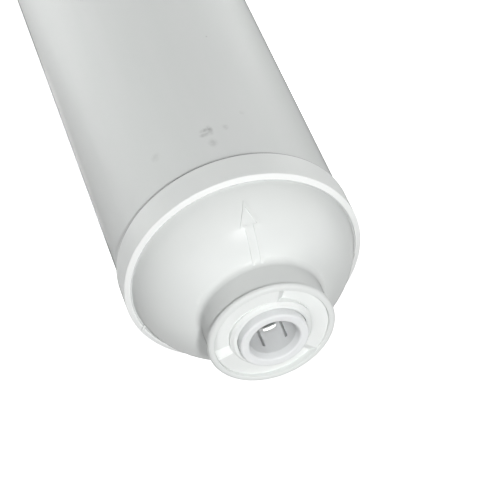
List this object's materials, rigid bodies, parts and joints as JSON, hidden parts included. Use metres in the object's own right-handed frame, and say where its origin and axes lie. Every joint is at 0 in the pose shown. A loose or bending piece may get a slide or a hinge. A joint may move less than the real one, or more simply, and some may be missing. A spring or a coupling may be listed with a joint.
{
  "type": "inline water filter cartridge",
  "caption": "Round white inline water filter cartridge with domed welded end caps, a raised flow arrow and a push-fit tube port with a sliding release collet at each end.",
  "frame": {"origin": "centre of the outlet port's lip, the face that the cartridge stands on", "axes": "+Z along the cartridge's axis from the outlet to the inlet, -Y through the flow arrow on the inlet cap"},
  "size_m": [0.0522, 0.0522, 0.2559],
  "materials": {
    "tube_shell": "semi-gloss white polypropylene",
    "cap_shell": "gloss white polypropylene",
    "collet": "satin light grey acetal",
    "steel": "bright stainless steel",
    "spacer": "satin white plastic",
    "seal": "black nitrile rubber",
    "strainer": "satin white plastic",
    "felt": "white needled felt",
    "carbon": "black granular carbon"
  },
  "bodies": {
    "housing": {"carbon_bed": "carbon", "housing_tube": "tube_shell", "inlet_cap": "cap_shell", "inlet_felt_pad": "felt", "inlet_o_ring": "seal", "inlet_retainer": "cap_shell", "inlet_spacer": "spacer", "inlet_strainer": "strainer", "outlet_cap": "cap_shell", "outlet_felt_pad": "felt", "outlet_o_ring": "seal", "outlet_retainer": "cap_shell", "outlet_spacer": "spacer", "outlet_strainer": "strainer"},
    "inlet_release": {"inlet_collet": "collet", "inlet_grip_teeth": "steel"},
    "outlet_release": {"outlet_collet": "collet", "outlet_grip_teeth": "steel"}
  },
  "joints": [
    {"name": "inlet_collet_press", "type": "slide", "parent": "housing", "child": "inlet_release", "axis": [0, 0, -1], "range_m": [0, 0.002]},
    {"name": "outlet_collet_press", "type": "slide", "parent": "housing", "child": "outlet_release", "axis": [0, 0, -1], "range_m": [0, 0.002]}
  ]
}
